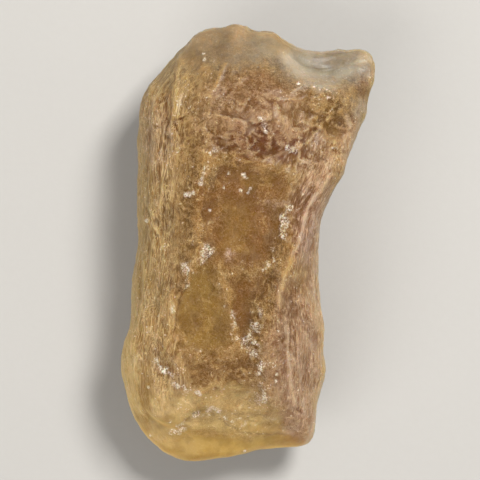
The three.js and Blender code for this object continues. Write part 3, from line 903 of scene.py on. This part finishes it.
def etch(surface, sizes):
    """Works the relief into the surface, and keeps the masks that the glass is coloured by."""
    etching = Etching(surface, sizes)
    etching.ease()
    etching.flute()
    etching.break_lips()
    etching.chip()
    etching.sink()
    etching.raise_ribs_and_grains()
    surface.push(etching.heights)
    etching.keep_masks()


def put(tree, kind, inputs=None, **settings):
    """A new node with its settings, and its inputs as values or as sockets to link."""
    node = tree.nodes.new(kind)
    for name, value in settings.items():
        setattr(node, name, value)
    for key, value in (inputs or {}).items():
        if isinstance(value, bpy.types.NodeSocket):
            tree.links.new(value, node.inputs[key])
        else:
            node.inputs[key].default_value = value
    return node


def calculate(tree, operation, first, second=0.0, third=0.0):
    """The result of one sum on two or three numbers."""
    return put(tree, "ShaderNodeMath", {0: first, 1: second, 2: third}, operation=operation).outputs[0]


def times(tree, first, second):
    """The product of two numbers."""
    return calculate(tree, "MULTIPLY", first, second)


def larger(tree, first, second):
    """The larger of two numbers."""
    return calculate(tree, "MAXIMUM", first, second)


def mixed(tree, share, first, second):
    """Two numbers mixed by a share."""
    return put(tree, "ShaderNodeMix", {0: share, 2: first, 3: second}).outputs[0]


def drawn_out(tree, place, factors):
    """A place squeezed along its axes, so that a pattern read there is drawn out."""
    return put(tree, "ShaderNodeVectorMath", {0: place, 1: factors}, operation="MULTIPLY").outputs[0]


def between(tree, value, low, high, start=0.0, end=1.0):
    """The value carried over from one range to another, with soft ends."""
    inputs = {"Value": value, "From Min": low, "From Max": high, "To Min": start, "To Max": end}
    return put(tree, "ShaderNodeMapRange", inputs, interpolation_type="SMOOTHSTEP").outputs[0]


def blend(tree, share, first, second, mode="MIX"):
    """Two colours mixed by a share."""
    first, second = (
        value if isinstance(value, bpy.types.NodeSocket) else (*value, 1.0) for value in (first, second)
    )
    inputs = {0: share, 6: first, 7: second}
    return put(tree, "ShaderNodeMix", inputs, data_type="RGBA", blend_type=mode).outputs[2]


def mask(tree, name):
    """A mask that the etching left on the mesh."""
    return put(tree, "ShaderNodeAttribute", attribute_name=name).outputs["Fac"]


def hairlines(tree, place, scale, width):
    """Thin lines where a noise crosses its middle."""
    waves = put(tree, "ShaderNodeTexNoise", {
        "Vector": place, "Scale": scale, "Detail": 2.0, "Roughness": 0.55, "Distortion": 0.8,
    }).outputs[0]
    away = calculate(tree, "ABSOLUTE", calculate(tree, "SUBTRACT", waves, 0.5))
    return between(tree, away, width, 0.0)


def mottle_group():
    """The shared mottling: cloudy patches, fine grain and a height, from any place."""
    group = bpy.data.node_groups.new("mottle", "ShaderNodeTree")
    sides = group.interface
    sides.new_socket("Place", in_out="INPUT", socket_type="NodeSocketVector")
    for name, value in (("Cloud scale", 300.0), ("Grain scale", 4000.0), ("Contrast", 0.5)):
        sides.new_socket(name, in_out="INPUT", socket_type="NodeSocketFloat").default_value = value
    for name in ("Clouds", "Grain", "Height"):
        sides.new_socket(name, in_out="OUTPUT", socket_type="NodeSocketFloat")
    inward = put(group, "NodeGroupInput")
    place = inward.outputs["Place"]
    clouds = put(group, "ShaderNodeTexNoise", {
        "Vector": place, "Scale": inward.outputs["Cloud scale"], "Detail": 5.0, "Roughness": 0.6,
    }).outputs[0]
    grain = put(group, "ShaderNodeTexNoise", {
        "Vector": place, "Scale": inward.outputs["Grain scale"], "Detail": 4.0, "Roughness": 0.75,
    }).outputs[0]
    reach = times(group, inward.outputs["Contrast"], 0.5)
    low = calculate(group, "SUBTRACT", 0.5, reach)
    high = calculate(group, "ADD", 0.5, reach)
    outward = put(group, "NodeGroupOutput")
    group.links.new(between(group, clouds, low, high), outward.inputs["Clouds"])
    group.links.new(between(group, grain, low, high), outward.inputs["Grain"])
    height = calculate(group, "ADD", times(group, clouds, 0.3), grain)
    group.links.new(height, outward.inputs["Height"])
    return group


def mottle(tree, place, cloud_scale, grain_scale, contrast):
    """The shared mottling, placed in a material with its own values."""
    group = bpy.data.node_groups.get("mottle") or mottle_group()
    node = put(tree, "ShaderNodeGroup", node_tree=group)
    tree.links.new(place, node.inputs["Place"])
    node.inputs["Cloud scale"].default_value = cloud_scale
    node.inputs["Grain scale"].default_value = grain_scale
    node.inputs["Contrast"].default_value = contrast
    return node.outputs


def new_material(name):
    """An empty material with its output node, ready for a surface."""
    material = bpy.data.materials.new(name)
    material.use_nodes = True
    material.node_tree.nodes.clear()
    return material, material.node_tree, material.node_tree.nodes.new("ShaderNodeOutputMaterial")


def clear_glass(tree, look, marks, place, clouds, busy):
    """The colour of the clear body: the tints that gather in it, painted shade of warm brown in the hollows
    and along the undercut edges, and brown clouds and chips.
    """
    colour = blend(tree, marks["milk"], look.body[:], look.milk[:])
    # The pale of the toe scoops among these tints is partly painted light
    paints = (
        ("amber", look.amber), ("olive", look.olive), ("pale", look.pale), ("ice", look.ice),
        ("rose", look.rose), ("umber", look.deep_brown_and_shade), ("red", look.red),
    )
    for name, paint in paints:
        share = times(tree, marks[name], between(tree, clouds, 0.0, 1.0, 0.65, 1.0))
        colour = blend(tree, share, colour, paint[:])
    # Painted shade: the hollows and the undercut edges are mixed towards the warm brown
    shade = between(tree, marks["hollow"], 0.0, 1.0, 0.0, 0.6)
    colour = blend(tree, shade, colour, look.deep_brown_and_shade[:])
    thick = times(tree, between(tree, clouds, 0.6, 0.1), between(tree, marks["calm"], 0.0, 1.0, 0.28, 0.24))
    colour = blend(tree, times(tree, thick, busy), colour, look.deep_brown_and_shade[:])
    flank = marks["flank"]
    dim = times(tree, between(tree, marks["facet"], 0.6, 0.1), between(tree, flank, 0.0, 1.0, 0.28, 0.1))
    colour = blend(tree, dim, colour, look.deep_brown_and_shade[:])
    shifted = put(tree, "ShaderNodeVectorMath", {0: place, 1: HUE_SHIFT}).outputs[0]
    hues = mottle(tree, shifted, *MOTTLINGS["hues"])
    colour = blend(tree, times(tree, hues["Clouds"], 0.14), colour, look.olive[:])
    speckle = between(tree, hues["Grain"], 0.5, 0.0, 0.0, 0.3)
    speckle = times(tree, speckle, between(tree, flank, 0.0, 1.0, 1.0, 0.4))
    return blend(tree, times(tree, speckle, busy), colour, look.deep_brown_and_shade[:])


def worn_lines(tree, marks, place, clouds, busy):
    """Thin worn lines: long ones along the flanks, wisps and frizz between them, and the chips' borders."""
    flank = marks["flank"]
    flow = put(tree, "ShaderNodeAttribute", attribute_name="flow").outputs["Vector"]
    lengthwise = drawn_out(tree, flow, LINE_SQUEEZE)
    fluted = between(tree, flank, 0.1, 0.8)
    shares = {
        "long": fluted,
        "strands": fluted,
        "fine": between(tree, flank, 0.0, 0.8, 0.1, 0.6),
        "wisps": between(tree, clouds, 0.3, 0.8),
        "frizz": between(tree, flank, 0.0, 1.0, 0.45, 0.1),
    }
    lines = {}
    for name, share in shares.items():
        along = place if name in ("wisps", "frizz") else lengthwise
        lines[name] = times(tree, hairlines(tree, along, *HAIRLINES[name]), share)
    on_flanks = larger(tree, larger(tree, lines["long"], lines["strands"]), lines["fine"])
    drawn = larger(tree, on_flanks, larger(tree, lines["wisps"], lines["frizz"]))
    drawn = times(tree, drawn, between(tree, marks["frost"], 0.0, 0.6, 0.25, 1.0))
    return larger(tree, times(tree, drawn, busy), marks["rims"])


def white_crumbs_and_glints(tree, marks, place, patches, busy):
    """White dots over the frost painted as glints, white dots along the jagged lips that are partly painted
    glints, and the grains.
    """
    jagged = marks["jagged"]
    jitter = put(tree, "ShaderNodeTexNoise", {"Vector": place, "Scale": JITTER_SCALE, "Detail": 3.0})
    strayed = put(tree, "ShaderNodeVectorMath", {
        0: jitter.outputs["Color"], 1: (GLINT_SPECK_STRAY,) * 3, 2: place,
    }, operation="MULTIPLY_ADD")
    cells = put(tree, "ShaderNodeTexVoronoi", {"Vector": strayed.outputs[0], "Scale": GLINT_SPECK_SCALE})
    chosen = put(tree, "ShaderNodeSeparateColor", {0: cells.outputs["Color"]}).outputs[0]
    rarely = between(tree, patches["Clouds"], 0.1, 0.9, 0.98, 0.78)
    painted_glints = calculate(tree, "GREATER_THAN", chosen, calculate(tree, "MULTIPLY_ADD", jagged, -0.7, rarely))
    painted_glints = times(tree, painted_glints, between(tree, cells.outputs["Distance"], 0.4, 0.1))
    painted_glints = times(tree, painted_glints, between(tree, marks["frost"], 0.2, 0.7, 0.15, 0.8))
    lip_flecks_and_glints = times(tree, between(tree, patches["Grain"], 0.3, 0.9), between(tree, jagged, 0.15, 0.8))
    grains = times(tree, between(tree, marks["crumbs"], 0.2, 0.8), patches["Grain"])
    return larger(tree, larger(tree, lip_flecks_and_glints, grains), times(tree, painted_glints, busy))


def glass_material(look):
    """Frosted desert glass: a clear honey body under a fine pale frost, worn off the pools and pits."""
    material, tree, output = new_material("frosted_desert_glass")
    marks = {name: mask(tree, name) for name in (*MARKS, *GATHERINGS)}
    place = put(tree, "ShaderNodeTexCoord").outputs["Object"]
    flow = put(tree, "ShaderNodeAttribute", attribute_name="flow").outputs["Vector"]
    patches = mottle(tree, place, *MOTTLINGS["patches"])
    streaks = mottle(tree, drawn_out(tree, flow, STREAK_SQUEEZE), *MOTTLINGS["streaks"])
    smooth = times(tree, marks["smooth"], 0.75)
    busy = calculate(tree, "SUBTRACT", 1.0, smooth)
    grain = mixed(tree, times(tree, marks["flank"], 0.8), patches["Grain"], streaks["Grain"])
    grain = mixed(tree, smooth, grain, 0.5)
    colour = clear_glass(tree, look, marks, place, patches["Clouds"], busy)

    # The frost: a grained film, pinkish on the right and grey in the scar; then a paler painted glow on the
    # thin edges that face sideways
    film = between(tree, marks["flank"], 0.0, 1.0, 0.75, 0.5)
    film = calculate(tree, "MULTIPLY_ADD", grain, film, marks["frost"])
    film = calculate(tree, "MULTIPLY_ADD", patches["Clouds"], 0.25, film)
    film = calculate(tree, "MULTIPLY_ADD", marks["facet"], 0.25, film)
    film = between(tree, film, 0.62, 1.95)
    pinkish = larger(tree, marks["lilac"], times(tree, marks["rose"], 0.7))
    bloom = blend(tree, pinkish, look.frost[:], look.lilac[:])
    bloom = blend(tree, times(tree, marks["ice"], 0.9), bloom, look.rime[:])
    colour = blend(tree, film, colour, bloom)
    # Painted glow on the thin edges, turning lilac where the frost is pinkish
    glow = blend(tree, pinkish, look.glow[:], look.blush[:])
    colour = blend(tree, times(tree, marks["thin"], 0.75), colour, glow)

    # Worn lines and white crumbs on the frost, with painted glints among the crumbs
    lines = worn_lines(tree, marks, place, patches["Clouds"], busy)
    worn = blend(tree, pinkish, look.line[:], look.blush[:])
    colour = blend(tree, times(tree, lines, 0.75), colour, worn)
    # White crumbs and grains, and white dots painted as glints
    crumbs = white_crumbs_and_glints(tree, marks, place, patches, busy)
    colour = blend(tree, crumbs, colour, look.crumb_and_glint[:])

    height = calculate(tree, "MULTIPLY_ADD", grain, 0.6, lines)
    height = calculate(tree, "ADD", height, crumbs)
    height = times(tree, height, between(tree, marks["calm"], 0.0, 1.0, 1.0, 0.3))
    bump = put(tree, "ShaderNodeBump", {"Height": height, "Strength": 1.0, "Distance": BUMP_DEPTH})
    sheen = between(tree, marks["frost"], 0.25, 0.55, 0.03, 0.14)
    sheen = calculate(tree, "MULTIPLY_ADD", smooth, 0.04, sheen)
    surface = put(tree, "ShaderNodeBsdfPrincipled", {
        "Base Color": colour,
        "Roughness": between(tree, film, 0.0, 1.0, 0.3, 0.45),
        "Normal": bump.outputs[0],
        "Coat Weight": larger(tree, sheen, crumbs),
        "Coat Roughness": COAT_ROUGHNESS,
        "Coat IOR": look.ior,
        "Specular IOR Level": SPECULAR_LEVEL,
        "IOR": look.ior,
        "Transmission Weight": look.transmission,
        "Subsurface Weight": SCATTERED,
        "Subsurface Radius": SCATTER_RADII,
        "Subsurface Scale": look.glow_depth,
    })
    depth = put(tree, "ShaderNodeVolumeAbsorption", {
        "Color": (*look.absorption, 1.0), "Density": look.density,
    })
    tree.links.new(surface.outputs[0], output.inputs["Surface"])
    tree.links.new(depth.outputs[0], output.inputs["Volume"])
    return material


def floor_material(look):
    """A matt pale board with a faint grain."""
    material, tree, output = new_material("pale_board")
    place = put(tree, "ShaderNodeTexCoord").outputs["Object"]
    grain = mottle(tree, place, *MOTTLINGS["floor"])
    darker = [value * FLOOR_SHADE for value in look.floor_colour]
    colour = blend(tree, times(tree, grain["Clouds"], 0.5), look.floor_colour[:], darker)
    bump = put(tree, "ShaderNodeBump", {
        "Height": grain["Height"], "Strength": 0.08, "Distance": FLOOR_BUMP_DEPTH,
    })
    surface = put(tree, "ShaderNodeBsdfPrincipled", {
        "Base Color": colour, "Roughness": between(tree, grain["Grain"], 0.0, 1.0, 0.78, 0.9),
        "Normal": bump.outputs[0],
    })
    tree.links.new(surface.outputs[0], output.inputs["Surface"])
    return material


class DESERTGLASS_OT_stone(Operator):
    """Etch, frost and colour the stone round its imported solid"""

    bl_idname = "desert_glass.stone"
    bl_label = "Etched Glass"
    bl_options = {"REGISTER", "UNDO"}

    def execute(self, context):
        scene = context.scene
        stone = fine_copy(frame["nodes"][SOLID_NODE], scene.stone_sizes.divisions)
        surface = Surface(stone.data)
        etch(surface, scene.stone_sizes)
        surface.write()
        stone.data.materials.clear()
        stone.data.materials.append(glass_material(scene.glass_look))
        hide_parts(SOLID_NODE)
        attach(stone, list(frame["bodies"])[0])
        return {"FINISHED"}


def aim(thing, target):
    """Turns a light or a camera, which look down their own -Z, towards a point."""
    thing.rotation_euler = (Vector(target) - thing.location).to_track_quat("-Z", "Y").to_euler()


def soft_light(name, power, size, place, target):
    """A square soft light that faces the stone."""
    lamp = bpy.data.lights.new(name, "AREA")
    lamp.energy = power
    lamp.size = size
    light = bpy.data.objects.new(name, lamp)
    light.location = place
    aim(light, target)
    bpy.context.scene.collection.objects.link(light)
    return light


class DESERTGLASS_OT_stage(Operator):
    """Lay the pale floor, and set the soft light and the camera"""

    bl_idname = "desert_glass.stage"
    bl_label = "Stage"
    bl_options = {"REGISTER", "UNDO"}

    def execute(self, context):
        scene = context.scene
        look = scene.stage_look
        half = look.floor_size / 2
        board = bpy.data.meshes.new("floor")
        corners = [(-half, -half, 0), (half, -half, 0), (half, half, 0), (-half, half, 0)]
        board.from_pydata(corners, [], [(0, 1, 2, 3)])
        floor = bpy.data.objects.new("floor", board)
        floor.location.z = -FLOOR_DROP
        board.materials.append(floor_material(look))
        scene.collection.objects.link(floor)

        middle = Vector((*VIEW_MIDDLE, WIDEST_HEIGHT)) / MM
        soft_light("key", look.key_power, KEY_SIZE, middle + KEY_PLACE, middle)
        soft_light("fill", look.fill_power, FILL_SIZE, middle + FILL_PLACE, middle)
        world = bpy.data.worlds.new("soft sky")
        world.use_nodes = True
        background = world.node_tree.nodes["Background"]
        background.inputs["Color"].default_value = SKY_COLOUR
        background.inputs["Strength"].default_value = look.sky
        scene.world = world

        camera = bpy.data.objects.new("camera", bpy.data.cameras.new("camera"))
        camera.data.lens = look.lens
        camera.data.sensor_width = SENSOR
        camera.data.clip_start = NEAREST_SEEN
        camera.location = middle + Vector((0, 0, look.lens * VIEW_WIDTH / SENSOR / MM))
        scene.collection.objects.link(camera)
        scene.camera = camera
        scene.view_settings.view_transform = "Standard"
        return {"FINISHED"}


class DESERTGLASS_PT_panel(Panel):
    """The stone and its stage in the sidebar"""

    bl_idname = "DESERTGLASS_PT_panel"
    bl_label = "Raw Desert Glass"
    bl_space_type = "VIEW_3D"
    bl_region_type = "UI"
    bl_category = "Desert Glass"

    def draw(self, context):
        for maker, settings in (
            (DESERTGLASS_OT_stone, (context.scene.stone_sizes, context.scene.glass_look)),
            (DESERTGLASS_OT_stage, (context.scene.stage_look,)),
        ):
            box = self.layout.box()
            box.operator(maker.bl_idname)
            for group in settings:
                for name in group.bl_rna.properties.keys():
                    if name not in ("rna_type", "name"):
                        box.prop(group, name)


CLASSES = (
    StoneSizes, GlassLook, StageLook, DESERTGLASS_OT_stone, DESERTGLASS_OT_stage, DESERTGLASS_PT_panel,
)
SETTINGS = {"stone_sizes": StoneSizes, "glass_look": GlassLook, "stage_look": StageLook}


def register():
    for item in CLASSES:
        bpy.utils.register_class(item)
    for name, group in SETTINGS.items():
        setattr(bpy.types.Scene, name, PointerProperty(type=group))


def unregister():
    for name in SETTINGS:
        delattr(bpy.types.Scene, name)
    for item in reversed(CLASSES):
        bpy.utils.unregister_class(item)


def main():
    register()
    bpy.ops.desert_glass.stage()
    bpy.ops.desert_glass.stone()


if __name__ == "__main__":
    main()
